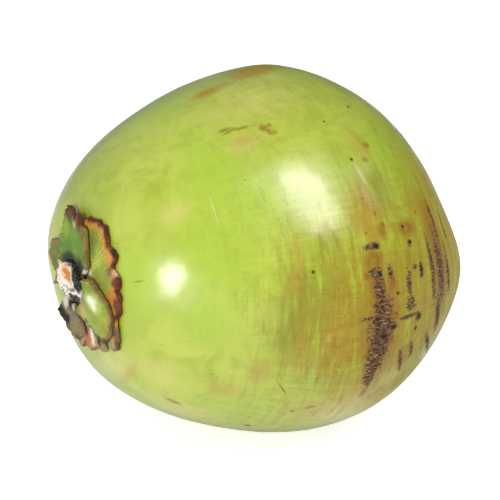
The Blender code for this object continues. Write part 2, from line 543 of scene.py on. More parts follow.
class SharedEffects:
    """The node groups that more than one finish uses."""

    def __init__(self, middle: np.ndarray) -> None:
        """Builds each group once, with angles about the fruit's middle."""
        self.fruit_place = self.make_fruit_place(middle)
        self.mark, self.grain = self.make_mark(), self.make_grain()

    @staticmethod
    def make_fruit_place(middle: np.ndarray) -> bpy.types.NodeTree:
        """Polar and turn in degrees, and coordinates stretched along or round the fruit.

        Args:
            middle: The fruit's middle in the frame.

        Returns:
            The group.
        """
        maker = GroupMaker("fruit_place", {}, {"Polar": FLOAT, "Turn": FLOAT, "Lengthwise": VECTOR,
                                               "Crosswise": VECTOR, "Flat": VECTOR})
        unit = maker.vector("NORMALIZE", maker.vector("SUBTRACT", maker.position(), tuple(middle)))
        x, y, z = (Field(maker, socket) for socket in maker.node("ShaderNodeSeparateXYZ", {0: unit}).outputs)
        polar = maker.math("ARCCOSINE", x * -1.0)
        turn = maker.math("ARCTAN2", z, y * -1.0)
        cosine, sine = maker.math("COSINE", turn), maker.math("SINE", turn)
        polar_degrees, turn_degrees = maker.math("DEGREES", polar), maker.math("DEGREES", turn)
        slow = 0.12
        return maker.put_out({
            "Polar": polar_degrees, "Turn": turn_degrees,
            "Lengthwise": maker.combine(cosine, sine, polar * slow),
            "Crosswise": maker.combine(cosine * slow, sine * slow, polar),
            "Flat": maker.combine(polar_degrees, turn_degrees, 0.0),
        })

    @staticmethod
    def make_mark() -> bpy.types.NodeTree:
        """A ragged oval mark at a polar and turn, whose long way may lean.

        Returns:
            The group.
        """
        sizes = {"Half Polar": 1.0, "Half Turn": 1.0, "Lean": 0.0, "Rag": 0.5, "Soft": 0.3}
        inputs = {name: (FLOAT, 0.0) for name in ("Polar", "Turn", "Edge", "At Polar", "At Turn")}
        inputs |= {name: (FLOAT, value) for name, value in sizes.items()}
        maker = GroupMaker("mark", inputs, {"Mask": FLOAT})
        given = maker.given
        along = maker.math("WRAP", given["Turn"] - given["At Turn"], 180.0, -180.0)
        across = given["Polar"] - given["At Polar"] - along * given["Lean"]
        oval = maker.combine(across / given["Half Polar"], along / given["Half Turn"], 0.0)
        ragged = given["Edge"] * given["Rag"] + maker.vector("LENGTH", oval)
        return maker.put_out({"Mask": ragged.fall(1.0 - given["Soft"], given["Soft"] + 1.0)})

    @staticmethod
    def make_grain() -> bpy.types.NodeTree:
        """Fine plant fibre along a vector's slow direction: a soft value and thin dark lines.

        Returns:
            The group.
        """
        maker = GroupMaker("grain", {"Vector": (VECTOR, (0, 0, 0)), "Depth": (FLOAT, 1.0)},
                           {"Value": FLOAT, "Lines": FLOAT})
        soft = maker.noise(maker.given["Vector"], Lumps(38.0, 4.0, 0.6))
        fine = maker.noise(maker.given["Vector"], Lumps(120.0, 3.0, 0.6))
        value = ((soft + fine) * 0.5 - 0.5) * maker.given["Depth"] + 0.5
        return maker.put_out({"Value": value, "Lines": fine.fall(0.30, 0.44)})


class FinishGraph(Graph):
    """A material's nodes in the making, round its Principled shader."""

    def __init__(self, name: str, effects: SharedEffects | None = None) -> None:
        """Makes the material.

        Args:
            name: The material's name.
            effects: The shared node groups, where the finish uses them.
        """
        self.material = bpy.data.materials.new(name)
        self.material.use_nodes = True
        super().__init__(self.material.node_tree)
        self.here = self.position()
        if effects:
            self.effects = effects
            self.place = self.use(effects.fruit_place, {})

    def surface(self, values: dict[object, object]) -> bpy.types.Material:
        """Feeds the shader's inputs.

        Args:
            values: Input name to a plain value or a field.

        Returns:
            The material.
        """
        for name, value in values.items():
            self.feed(self.tree.nodes["Principled BSDF"].inputs[name], value)
        return self.material


class Tint(Enum):
    """What a mark on the skin is."""

    GREEN = "green"
    STRAW = "straw"
    OLIVE = "olive"
    TAN = "tan"
    MATT = "matt"
    OCHRE = "ochre"
    # pale patches, and two small painted highlights
    PALE_AND_GLINT = "pale"
    STAIN = "stain"
    CORK = "cork"
    DARK = "dark"


@dataclass(frozen=True)
class Mark:
    """An oval mark, in degrees: where it is, its half sizes, and how it leans."""

    tint: Tint | Colour
    polar: float
    turn: float
    half_polar: float
    half_turn: float
    lean: float = 0.0
    soft: float = 0.3
    rag: float = 0.6

    def mask(self, graph: FinishGraph, edge: Field) -> Field:
        """Where the mark is.

        Args:
            graph: The finish in the making.
            edge: A value about -0.5 to 0.5 that makes its edge ragged.

        Returns:
            The mask.
        """
        return graph.use(graph.effects.mark, {
            "Polar": graph.place["Polar"], "Turn": graph.place["Turn"], "Edge": edge,
            "At Polar": self.polar, "At Turn": self.turn, "Half Polar": self.half_polar,
            "Half Turn": self.half_turn, "Lean": self.lean, "Rag": self.rag, "Soft": self.soft,
        })["Mask"]


def marks(tint: Tint, soft: float, rag: float, *rows: tuple[float, ...]) -> tuple[Mark, ...]:
    """Marks of one kind, each row giving polar, turn, half sizes and perhaps a lean.

    Args:
        tint: What the marks are.
        soft: How gradual their edges are.
        rag: How ragged their edges are.
        rows: The places and sizes, in degrees.

    Returns:
        The marks.
    """
    return tuple(Mark(tint, *row, soft=soft, rag=rag) for row in rows)


FRONT_MARKS = (
    *marks(Tint.GREEN, 0.9, 0.9, (54, 50, 8, 16), (50, 22, 9, 16), (62, 34, 8, 12), (28, 14, 4.5, 20),
           (46, -2, 7, 9), (76.6, 14, 3, 6.5), (74.2, 17, 0.9, 4), (112, 44, 7, 14), (100.5, 15, 3.4, 6),
           (104, 22, 4, 6), (90, 36, 4, 7), (60, -38, 9, 9)),
    *marks(Tint.STRAW, 0.9, 1.0, (41, 40, 4, 4), (79, 74, 12, 8), (66, 56, 5, 3.5), (82, 23.5, 4.5, 4),
           (36, -34, 5, 8), (92, -36, 9, 6)),
    *marks(Tint.OLIVE, 0.9, 0.9, (73.5, -4, 6.5, 15), (79, 0, 7, 16), (70.2, 2.5, 3.8, 11),
           (92, 96, 10, 6), (99, 32, 6, 6), (27.8, 14, 1.4, 0.4)),
    *marks(Tint.OLIVE, 0.8, 1.3, (70.5, -5, 7.6, 14), (77, 2, 3.6, 13), (80, -16, 5, 8)),
    *marks(Tint.MATT, 0.6, 1.2, (76.8, 16, 2.2, 4.4), (80.8, 13, 2.4, 3.6), (72.6, 9.5, 2.6, 3),
           (70.5, 20, 1, 4)),
    *marks(Tint.TAN, 0.9, 1.0, (68.8, 6.5, 0.9, 5.5), (70.5, 18, 1.4, 5), (60.3, -21, 2.8, 4.6),
           (86, 91, 6, 3), (69.8, 89, 5, 2.6), (79.2, 90, 4, 2.2), (88.8, 93, 5.5, 2.4),
           (66.4, 57.6, 2.6, 2), (101.8, 47, 3, 4), (92.5, 26, 3.6, 8), (80, -36, 9, 5),
           (53.2, -31.5, 5, 4), (89, -31, 7, 5), (28.8, -47.5, 1.4, 9), (80, -14, 5, 8), (71, -12, 2, 9),
           (72, -21.5, 1.6, 0.7), (79, -34.5, 3.4, 2.4)),
    *marks(Tint.OCHRE, 0.9, 1.2, (88.5, 92.5, 6, 3.2), (70.5, 89.5, 4, 2.2)),
    *marks(Tint.OCHRE, 0.6, 0.9, (110, -4, 18, 26), (89, -6, 12, 21), (95, 22, 6, 8), (118, 20, 9, 12),
           (134, 2, 22, 46), (110, -36, 15, 12)),
    *marks(Tint.PALE_AND_GLINT, 0.9, 0.8, (24.8, -56.5, 3.6, 20), (46, -56, 12, 6), (104, -44, 18, 8)),
    *marks(Tint.PALE_AND_GLINT, 0.9, 0.4, (50.8, 36.5, 0.22, 4.6)),
    # These two are painted highlights: a thin glint by the strip lamp's reflection and a small one below the
    # soft box's.
    *marks(Tint.PALE_AND_GLINT, 0.5, 0.6, (97, 36.5, 0.7, 3.8, -0.15), (77.5, 22.2, 1.1, 1.3)),
    *marks(Tint.STRAW, 0.8, 0.8, (114.2, -8, 0.5, 9, -0.1), (112, -14, 0.5, 3.4),
           (102.6, -16, 0.5, 3, -0.1), (100, -22, 0.7, 6, -0.2), (124, -24, 0.8, 9, -0.4),
           (130, -30, 1, 8, -0.5)),
    *marks(Tint.STAIN, 0.7, 0.9, (93, 11.5, 3.2, 3.2), (94.5, -8, 5.5, 18), (106.8, 18.4, 3.6, 2.6),
           (98, 4.5, 1.3, 2.6), (89.8, 7, 1.2, 1.4), (97, 18.5, 1.2, 2), (120.5, 6, 4, 18),
           (93.5, -29.5, 1.5, 2.4), (42.5, -49.5, 2.2, 1.3), (103.8, -20, 2, 4), (101.2, 41.5, 1, 1),
           (104.5, 47, 1.2, 1.2)),
    *marks(Tint.STAIN, 0.5, 0.7, (92.4, 10.6, 2.4, 3.6), (92.6, 4, 3.4, 5), (93.6, -9, 4.8, 8),
           (74.6, 60.3, 1.3, 1.6), (76.2, 57.3, 1.4, 0.9), (76.6, 60.8, 0.8, 0.8), (75.4, 58.6, 0.9, 1.2),
           (68, -27, 0.4, 2.4, -0.7), (79, -34.5, 1.2, 0.7), (77.8, -35.4, 0.7, 0.6),
           (74, -37.5, 0.8, 0.6), (91.8, 19, 0.5, 0.5), (96.6, 24, 0.5, 0.6), (94, 29, 0.4, 0.4),
           (98.2, 20.5, 0.7, 0.9), (114, 23, 0.6, 0.5)),
    *marks(Tint.CORK, 0.7, 0.7, (93.4, 3, 1.9, 3.4), (94, -1.8, 2.9, 3.2), (93.9, -7, 4.4, 3),
           (93.7, -11, 3.9, 3.4), (93.4, -15, 3.4, 3.2), (93.1, -19, 2.8, 3.2), (93, -23.4, 1.9, 3.6),
           (92.6, 7.4, 2.2, 1.6)),
    *marks(Tint.CORK, 0.8, 1.1, (92.6, 15, 2.6, 0.9), (97.4, 7, 0.8, 2), (92.6, -4.5, 5.5, 0.6),
           (103.8, -6.5, 4.2, 0.7), (104, 3, 1, 4), (104.2, -3, 1.8, 2), (109.8, 5.5, 1.1, 2.4),
           (107, 7.2, 0.9, 1), (106.8, 14, 0.9, 1.2), (115.5, 4.5, 1.1, 10), (120.4, 4, 1.9, 10),
           (122.6, 19, 0.9, 7), (118.4, -11, 1.5, 7, -0.1), (115.4, -20, 1.1, 5, -0.5), (125.6, 0.5, 1, 8),
           (129.6, 17, 0.6, 6), (106.8, -18.5, 0.9, 2.6, -0.2), (103.2, -21, 0.7, 3.6, -0.3)),
    *marks(Tint.DARK, 0.6, 1.6, (96.2, 42, 0.6, 0.6), (107.8, 64.5, 0.5, 0.6), (94.2, 57.5, 0.35, 0.4),
           (61.5, 43, 0.2, 0.2), (74, 10.5, 0.5, 0.5), (66, -52.5, 0.8, 0.6), (108, -7.8, 1.2, 1.2),
           (98, -8.5, 1.3, 0.9), (107, -11.2, 0.6, 0.6), (94, 15, 1.1, 0.7), (105.5, 19.1, 0.5, 0.4),
           (107, 14.4, 0.6, 0.5), (93.8, 7.5, 0.5, 0.5), (99.5, 1, 0.5, 0.5), (94.6, -10.5, 0.9, 0.8),
           (92.4, -5, 0.8, 0.5), (110, 5.8, 0.4, 1.2)),
)

SCRATCHES = marks(
    Tint.OLIVE, 0.8, 0.5,
    (64.0, 65.2, 2.0, 0.8, 0.0), (68.4, 63.4, 2.6, 0.7, -1.6), (64.6, 63.8, 1.6, 0.8, 1.2),
    (66.2, 64.2, 1.4, 0.6, 0.0),
)

# The sides that the photograph doesn't show carry the same kinds of wear, more sparsely.
HIDDEN_MARKS = (
    *marks(Tint.GREEN, 0.9, 0.9, (70, 150, 20, 22), (50, -120, 16, 26), (60, 100, 12, 12),
           (74, -84, 14, 14)),
    *marks(Tint.STRAW, 0.9, 1.0, (100, 172, 12, 18), (60, -165, 14, 12), (44, -90, 10, 14)),
    *marks(Tint.OLIVE, 0.9, 0.8, (150, 20, 12, 90), (84, -158, 9, 16), (86, 128, 9, 14),
           (148, -150, 14, 70)),
    *marks(Tint.TAN, 0.9, 1.0, (66, 132, 10, 3.4), (84, -150, 2, 13), (92, 160, 1.8, 12), (58, -100, 6, 8)),
    *marks(Tint.OCHRE, 0.8, 0.8, (112, 124, 16, 22), (104, -124, 16, 26)),
    *marks(Tint.STAIN, 0.7, 0.9, (98, 127, 5, 10), (88, -128, 5, 10), (70, 141, 1.5, 1.8),
           (48, -142, 0.45, 4, 0.7)),
    *marks(Tint.CORK, 0.7, 0.9, (98, 128, 2, 8), (106, 121, 0.9, 6), (88, -128, 2.6, 7), (118, -139, 1, 9),
           (126, -150, 0.9, 7), (133, 60, 0.9, 9), (58, 150, 0.6, 4, -0.5)),
    *marks(Tint.DARK, 0.5, 0.7, (88, 148, 0.7, 0.7), (64, 118, 0.5, 0.5), (73, -112, 0.7, 0.6),
           (104, -104, 0.6, 0.8)),
)


@dataclass(frozen=True)
class SkinFinish:
    """Waxy green skin: mottled, streaked, ochre toward the tip, scarred with cork, and with two small
    painted highlights.
    """

    base: Colour = (154, 170, 46)
    deep: Colour = (140, 158, 36)
    light: Colour = (168, 180, 66)
    green: Colour = (146, 178, 42)
    straw: Colour = (184, 178, 96)
    olive: Colour = (102, 92, 5)
    tan: Colour = (162, 120, 42)
    ochre: Colour = (138, 106, 5)
    # pale tone of the pale patches, and of the painted highlights
    pale: Colour = (196, 188, 128)
    thread: Colour = (136, 112, 20)
    stain: Colour = (124, 66, 10)
    dark: Colour = (34, 21, 9)
    cork_dark: Colour = (46, 28, 20)
    cork_mid: Colour = (104, 74, 50)
    cork_light: Colour = (162, 130, 100)
    roughness: float = 0.30
    wax: float = 1.0
    wax_roughness: float = 0.24
    refraction: float = 1.42
    shine: float = 0.25
    fibre_depth: float = 1.8
    broad: Lumps = Lumps(26.0, 4.0, 0.6, 0.6)
    cloud: Lumps = Lumps(60.0, 5.0, 0.65, 0.4)
    patchy: Lumps = Lumps(75.0, 4.0, 0.65, 0.8)
    fine: Lumps = Lumps(420.0, 3.0, 0.6)
    frayed: Lumps = Lumps(420.0, 4.0, 0.75)
    streaky: Lumps = Lumps(1.0, 5.0, 0.68)
    corky: Lumps = Lumps(1.0, 3.0, 0.6)
    crumbly: Lumps = Lumps(1.0, 3.0, 0.65)
    specks_per_metre: float = 380.0
    dots_per_metre: float = 170.0
    marks: tuple[Mark, ...] = FRONT_MARKS + SCRATCHES + HIDDEN_MARKS

    def mask(self, graph: FinishGraph, edge: Field, tint: Tint) -> Field:
        """All the marks of one tint together.

        Args:
            graph: The finish in the making.
            edge: A value about -0.5 to 0.5 that makes the edges ragged.
            tint: Which marks to gather.

        Returns:
            The mask.
        """
        drawn = [mark.mask(graph, edge) for mark in self.marks if mark.tint is tint]
        return functools.reduce(operator.or_, drawn)

    def cork(self, graph: FinishGraph, edge: Field) -> tuple[Field, Field, Field]:
        """Broken, crumbly cork.

        Args:
            graph: The finish in the making.
            edge: A value that makes the marks' edges ragged.

        Returns:
            Where it is, its colour and its height.
        """
        flat = graph.place["Flat"]
        ticks = graph.noise(flat, self.corky, (0.5, 2.4))
        crumbs = graph.noise(flat, self.crumbly, (1.5, 1.7))
        blots = graph.noise(flat, self.corky, (0.45, 0.55))
        flakes = graph.noise(flat, self.corky, (0.6, 1.3))
        cork = self.mask(graph, edge, Tint.CORK)
        broken = (blots - 0.5) * 1.4 + ((ticks - 0.5) * 2.0 + (crumbs - 0.5) * 2.6)
        cork = (cork + broken).rise(0.42, 0.62) * cork.rise(0.02, 0.2)
        colour = graph.mix(flakes.rise(0.42, 0.58), self.cork_dark, self.cork_mid)
        colour = colour.lay(self.cork_light, ticks.rise(0.55, 0.66))
        pits = ticks.fall(0.40, 0.46) | blots.fall(0.38, 0.46)
        return cork, colour.lay(self.cork_dark, pits * 0.85), cork * (ticks + crumbs) * 0.35

    def material(self, effects: SharedEffects) -> bpy.types.Material:
        """Builds the finish.

        Args:
            effects: The shared node groups.

        Returns:
            The material.
        """
        graph = FinishGraph("waxy_skin", effects)
        place, here = graph.place, graph.here
        along, across = (graph.use(effects.grain, {"Vector": place[way], "Depth": self.fibre_depth})["Value"]
                         for way in ("Lengthwise", "Crosswise"))
        patchy = graph.noise(here, self.patchy)
        upright = graph.noise(place["Flat"], self.streaky, (0.42, 0.07))
        level = graph.noise(place["Flat"], self.streaky, (0.07, 0.50))
        wide_edge = graph.noise(here, self.cloud) + upright - 1.0
        edge = graph.noise(here, self.frayed) - 0.5
        woven = ((along + across) * 0.5).rise(0.35, 0.65)
        worn_side = place["Polar"].rise(40.0, 80.0) * (1.0 - place["Turn"].rise(22.0, 50.0) * 0.75)

        colour = graph.mix(graph.noise(here, self.broad).rise(0.35, 0.65), self.base, self.light)
        colour = colour.lay(self.deep, patchy.rise(0.42, 0.7) * 0.8)
        masks = {}
        for tint, tone, most, least in (
                (Tint.GREEN, self.green, 0.85, 0.7), (Tint.STRAW, self.straw, 0.75, 0.5),
                (Tint.OLIVE, self.olive, 0.85, 0.7), (Tint.OCHRE, self.ochre, 0.95, 0.75),
                (Tint.PALE_AND_GLINT, self.pale, 0.6, 0.7), (Tint.TAN, self.tan, 0.7, 0.35)):
            masks[tint] = self.mask(graph, wide_edge, tint)
            colour = colour.lay(tone, masks[tint] * woven.span(least * most, most))
        for bands, tone, least, most in (
                (upright.fall(0.36, 0.48), self.olive, 0.04, 0.5),
                (upright.rise(0.52, 0.64), self.green, 0.04, 0.55),
                (level.rise(0.52, 0.64), self.tan, 0.04, 0.3),
                (1.0 - woven, self.thread, 0.05, 0.42), (woven, self.light, 0.08, 0.26)):
            colour = colour.lay(tone, bands * worn_side.span(least, most))

        specks = graph.cells(here, self.specks_per_metre).fall(0.10, 0.22)
        specks = specks * (patchy.rise(0.50, 0.68) * masks[Tint.OCHRE]) * 0.7
        stain = self.mask(graph, edge, Tint.STAIN) * across.rise(0.3, 0.65).span(0.55, 1.0) | specks
        colour = colour.lay(self.stain, stain * 0.85)
        cork, bark, rugged = self.cork(graph, edge)
        colour = colour.lay(bark, cork * 0.95)
        dots = graph.math("LESS_THAN", graph.cells(here, self.dots_per_metre), patchy.rise(0.56, 0.8) * 0.14)
        dark = self.mask(graph, edge, Tint.DARK) | dots * 0.4
        colour = colour.lay(self.dark, dark * 0.97)

        worn = (cork | dark | stain * 0.5 | masks[Tint.OCHRE] * 0.8 | masks[Tint.OLIVE] * 0.7
                | self.mask(graph, wide_edge, Tint.MATT) * 0.75)
        streaks = across * worn_side.span(0.10, 0.55)
        height = rugged + (graph.noise(here, self.fine) * 0.08 + (along * 0.25 + streaks))
        return graph.surface({
            "Base Color": colour,
            "Roughness": worn * 0.45 + (patchy * 0.10 + (self.roughness - 0.05)),
            "Coat Weight": (1.0 - worn) * self.wax, "Coat Roughness": self.wax_roughness,
            "IOR": self.refraction, "Specular IOR Level": self.shine,
            "Normal": graph.bump(height, 0.30 * MM, 0.7),
        })


@dataclass(frozen=True)
class Spot(Mark):
    """A patch of colour on a tepal; a few of them are painted highlights and painted shadows."""

    soft: float = 0.5
    rag: float = 0.9


@dataclass(frozen=True)
class TepalFinish:
    """Leathery tepal: veined, with a coloured band inside a burnt rim, and dry patches.

    Distances named _mm are measured from the rim, from the side margins or from the root.
    low_margin is the margin at the lower turn and margin the other.
    """

    name: str
    base: Colour
    root: Colour
    vein: Colour
    light: Colour
    band: Colour
    ember: Colour
    rim: Colour
    margin: Colour
    low_margin: Colour
    hem: Colour
    dry: Colour
    band_mm: float = 4.0
    ember_mm: float = 1.0
    rim_mm: float = 1.4
    margin_mm: float = 1.0
    hem_mm: float = 0.4
    dryness: float = 0.2
    roughness: float = 0.42
    worn_roughness: float = 0.85
    gloss: float = 0.0
    gloss_roughness: float = 0.25
    refraction: float = 1.4
    fibre_depth: float = 1.8
    lumps: Lumps = Lumps(160.0, 4.0, 0.6, 0.5)
    patches: Lumps = Lumps(480.0, 4.0, 0.65, 0.4)
    grit: Lumps = Lumps(1300.0, 3.0, 0.6)
    spots: tuple[Spot, ...] = ()

    def material(self, effects: SharedEffects) -> bpy.types.Material:
        """Builds the finish.

        Args:
            effects: The shared node groups.

        Returns:
            The material.
        """
        graph = FinishGraph(self.name, effects)
        grain = graph.use(effects.grain, {"Vector": graph.place["Lengthwise"], "Depth": self.fibre_depth})
        lumps, patches, grit = (graph.noise(graph.here, size)
                                for size in (self.lumps, self.patches, self.grit))
        ragged = patches - 0.5
        jitter = ragged * 3.0 + (lumps - 0.5) * 4.0
        root_mm = graph.attribute("root_mm") + jitter
        rim_mm = graph.attribute("rim_mm") + (1.0 - graph.attribute("tip")) * 12.0
        side_mm = jitter * 0.30 + graph.attribute("side_mm")

        colour = graph.mix(lumps.rise(0.42, 0.62), self.base, self.light)
        colour = colour.lay(self.vein, grain["Lines"] * 0.25)
        colour = colour.lay(self.vein, patches.rise(0.5, 0.72) * 0.5)
        colour = colour.lay(self.root, root_mm.fall(0.5, 7.0))
        band_end = self.rim_mm + self.ember_mm + self.band_mm
        colour = colour.lay(self.band, (rim_mm + jitter).fall(band_end * 0.6, band_end * 1.15) * 0.92)
        dry = (patches * 0.6 + lumps * 0.4).rise(0.72 - self.dryness * 0.4, 0.80 - self.dryness * 0.3)
        colour = colour.lay(self.dry, dry * 0.85)

        margin_mm = root_mm.rise(2.0, 14.0).span(0.25, 1.0) * self.margin_mm
        margin = (side_mm / margin_mm).fall(0.7, 1.3)
        tone = graph.mix(graph.attribute("hand").rise(-0.2, 0.2), self.low_margin, self.margin)
        colour = colour.lay(tone.lay(self.dry, patches.rise(0.45, 0.65) * 0.5), margin * 0.9)
        colour = colour.lay(self.hem, side_mm.fall(self.hem_mm * 0.6, self.hem_mm * 1.4) * 0.8)

        near_rim = jitter * 0.45 + rim_mm
        ember = near_rim.fall(self.rim_mm, (self.rim_mm + self.ember_mm) * 1.3)
        colour = colour.lay(self.ember, ember * 0.9)
        burnt = near_rim.fall(self.rim_mm * 0.6, self.rim_mm * 1.2)
        char = graph.mix(patches.rise(0.44, 0.62), self.rim, self.ember)
        colour = colour.lay(char, burnt * 0.95)
        for spot in self.spots:
            colour = colour.lay(spot.tint, spot.mask(graph, ragged) * 0.92)

        worn = burnt | dry | margin * 0.7
        height = (patches + grit * 0.5) * (worn + 0.25) + grain["Value"]
        return graph.surface({
            "Base Color": colour, "Roughness": worn.span(self.roughness, self.worn_roughness),
            "Coat Weight": (1.0 - worn) * self.gloss, "Coat Roughness": self.gloss_roughness,
            "IOR": self.refraction, "Normal": graph.bump(height, 0.5 * MM, 0.8),
        })


@dataclass(frozen=True)
class ScarFinish:
    """Broken stalk wood: pale fibre, an orange heart, and black on one side that is mould and painted shade.
    """

    pale: Colour = (232, 222, 208)
    heart: Colour = (188, 120, 52)
    blush: Colour = (222, 180, 128)
    fibre: Colour = (190, 170, 146)
    hollow: Colour = (126, 112, 100)
    # near-black of the mould, also used as painted shade on the side walls
    mould_and_shade: Colour = (30, 26, 24)
    ash: Colour = (132, 124, 118)
    fibre_depth: float = 2.0
    patches: Lumps = Lumps(330.0, 4.0, 0.65, 0.6)
    fine: Lumps = Lumps(1100.0, 3.0, 0.6)
    bundles_per_metre: float = 620.0

    def material(self, effects: SharedEffects) -> bpy.types.Material:
        """Builds the finish.

        Args:
            effects: The shared node groups.

        Returns:
            The material.
        """
        graph = FinishGraph("stalk_wood", effects)
        grain = graph.use(effects.grain, {"Vector": graph.place["Lengthwise"], "Depth": self.fibre_depth})
        patches, fine = graph.noise(graph.here, self.patches), graph.noise(graph.here, self.fine)
        bundles = graph.cells(graph.here, self.bundles_per_metre)
        warmth = (patches - 0.5) * 0.9 + graph.attribute("heart")
        mould_and_shade = (patches - 0.5) * 2.4 + graph.attribute("mould_and_shade")
        black = mould_and_shade.rise(0.5, 0.66)
        colour = graph.mix(fine.rise(0.25, 0.48), self.fibre, self.pale)
        for tone, share in (
                (self.fibre, grain["Lines"] * 0.4), (self.blush, warmth.rise(0.15, 0.5)),
                (self.heart, warmth.rise(0.45, 0.8)), (self.hollow, patches.fall(0.32, 0.46) * 0.85),
                (self.ash, mould_and_shade.rise(0.22, 0.42)), (self.mould_and_shade, black),
                (self.ash, fine.rise(0.54, 0.66) * black * 0.6)):
            colour = colour.lay(tone, share)
        return graph.surface({
            "Base Color": colour, "Roughness": patches.span(0.75, 0.95),
            "Normal": graph.bump(bundles * 0.8 + fine * 0.8, 0.5 * MM, 0.8),
        })


@dataclass(frozen=True)
class FloorFinish:
    """Plain pale, slightly uneven paper, lit from behind where the camera sees it."""

    colour: Colour = (244, 244, 243)
    shade: Colour = (238, 238, 237)
    uneven: Lumps = Lumps(30.0, 2.0)
    roughness: float = 0.9
    glow: float = 0.16
    backdrop_glow: float = 0.8

    def material(self) -> bpy.types.Material:
        """Builds the finish.

        Returns:
            The material.
        """
        graph = FinishGraph("pale_floor")
        seen = graph.output("Is Camera Ray", "ShaderNodeLightPath")
        return graph.surface({
            "Base Color": graph.mix(graph.noise(graph.here, self.uneven), self.colour, self.shade),
            "Roughness": self.roughness, "Emission Color": srgb(*self.colour),
            "Emission Strength": seen.span(self.glow, self.backdrop_glow),
        })


def add_piece(name: str, mesh: bpy.types.Mesh, finish: bpy.types.Material, node: str) -> bpy.types.Object:
    """Shows a mesh in place of a solid of the frame.

    Args:
        name: The piece's name.
        mesh: Its mesh, already in place.
        finish: Its material.
        node: The solid that it stands for.

    Returns:
        The piece.
    """
    mesh.materials.append(finish)
    mesh.shade_smooth()
    piece = bpy.data.objects.new(name, mesh)
    bpy.context.scene.collection.objects.link(piece)
    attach(piece, "root")
    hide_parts(node)
    return piece


def ball_angles(mesh: bpy.types.Mesh, sides: int, rings: int) -> tuple[np.ndarray, np.ndarray]:
    """Fills a mesh with a ball whose poles lie along X, and reads its angles.

    Args:
        mesh: The empty mesh.
        sides: Steps round the axis.
        rings: Steps from pole to pole.

    Returns:
        The polar angle and the turn of each point, in radians.
    """
    ball = bmesh.new()
    turned = Matrix.Rotation(math.radians(-90), 4, "Y")
    bmesh.ops.create_uvsphere(ball, u_segments=sides, v_segments=rings, radius=1, matrix=turned)
    ball.to_mesh(mesh)
    ball.free()
    points = read_points(mesh)
    return np.arccos(np.clip(-points[:, 0], -1, 1)), np.arctan2(points[:, 2], -points[:, 1])


def read_points(mesh: bpy.types.Mesh) -> np.ndarray:
    """The mesh's points.

    Args:
        mesh: The mesh.

    Returns:
        The places, one per row.
    """
    flat = np.empty(len(mesh.vertices) * 3)
    mesh.vertices.foreach_get("co", flat)
    return flat.reshape(-1, 3)


def write_points(mesh: bpy.types.Mesh, points: np.ndarray) -> None:
    """Moves the mesh's points."""
    mesh.vertices.foreach_set("co", points.ravel())
    mesh.update()


def write_values(mesh: bpy.types.Mesh, name: str, values: np.ndarray) -> None:
    """Stores a value on each point of the mesh."""
    mesh.attributes.new(name, "FLOAT", "POINT").data.foreach_set("value", values.ravel())


@dataclass(frozen=True)
class Husk:
    """The whole fruit's skin, with its low lumps, cork scars, tip and flat spot.

    The nub at the tip reaches nub_reach degrees, and the moat round it lies moat_at times as far.
    """

    form: FruitForm
    finish: SkinFinish = SkinFinish()
    sides: int = 400
    rings: int = 236
    lump_height: float = 0.45 * MM
    lump_size: float = 42.0 * MM
    dimple_height: float = 0.10 * MM
    dimple_size: float = 9.0 * MM
    cork_height: float = 0.16 * MM
    cork_grain: float = 2.5 * MM
    nub_height: float = 1.5 * MM
    nub_reach: float = 3.2
    moat_depth: float = 0.9 * MM
    moat_at: float = 2.4

    def relief(self, polar: np.ndarray, turn: np.ndarray) -> np.ndarray:
        """Height of the skin's detail over the plain form.

        Args:
            polar: Polar angles, in radians.
            turn: Turns, in radians.

        Returns:
            Heights in metres.
        """
        plain = self.form.place(polar, turn)
        rise = self.lump_height * cloudy(plain, self.lump_size, 2)
        rise += self.dimple_height * cloudy(plain, self.dimple_size, 2, 5.0)
        for mark in self.finish.marks:
            if mark.tint is Tint.CORK:
                along = np.degrees(turn) - mark.turn
                across = np.degrees(polar) - mark.polar - mark.lean * along
                away = np.hypot(across / mark.half_polar, along / mark.half_turn)
                inside = 1 - smooth_step(away, 0.6, 1.2)
                rise += self.cork_height * inside * (0.6 + cloudy_where(plain, inside, self.cork_grain))
        from_tip = 180 - np.degrees(polar)
        rise += self.nub_height * bell(from_tip, 0, self.nub_reach)
        rise -= self.moat_depth * bell(from_tip, self.moat_at * self.nub_reach, self.nub_reach)
        return rise

    def build(self, middle: np.ndarray) -> bpy.types.Mesh:
        """Makes the skin's mesh in place.

        Args:
            middle: The fruit's middle in the frame.

        Returns:
            The mesh.
        """
        mesh = bpy.data.meshes.new("husk_skin")
        polar, turn = ball_angles(mesh, self.sides, self.rings)
        points = self.form.place(polar, turn, self.relief(polar, turn)) + middle
        points[:, 2] = np.maximum(points[:, 2], 0.0)
        write_points(mesh, points)
        return mesh

    def dress(self, mesh: bpy.types.Mesh, effects: SharedEffects) -> bpy.types.Object:
        """Gives the skin its finish and puts it in place of the solid."""
        return add_piece("husk_skin", mesh, self.finish.material(effects), "husk")


def cloudy_where(points: np.ndarray, inside: np.ndarray, size: float) -> np.ndarray:
    """cloudy, worked out only where inside isn't zero.

    Args:
        points: Places in metres, one per row.
        inside: A share per place.
        size: Width of the largest lumps, in metres.

    Returns:
        One height per place.
    """
    heights = np.zeros(len(points))
    chosen = inside > 0
    if chosen.any():
        heights[chosen] = cloudy(points[chosen], size, 3, 2.0)
    return heights


class Layer(Enum):
    """Which layer of the cap a tepal is in."""

    PETAL = 0
    SEPAL = 1


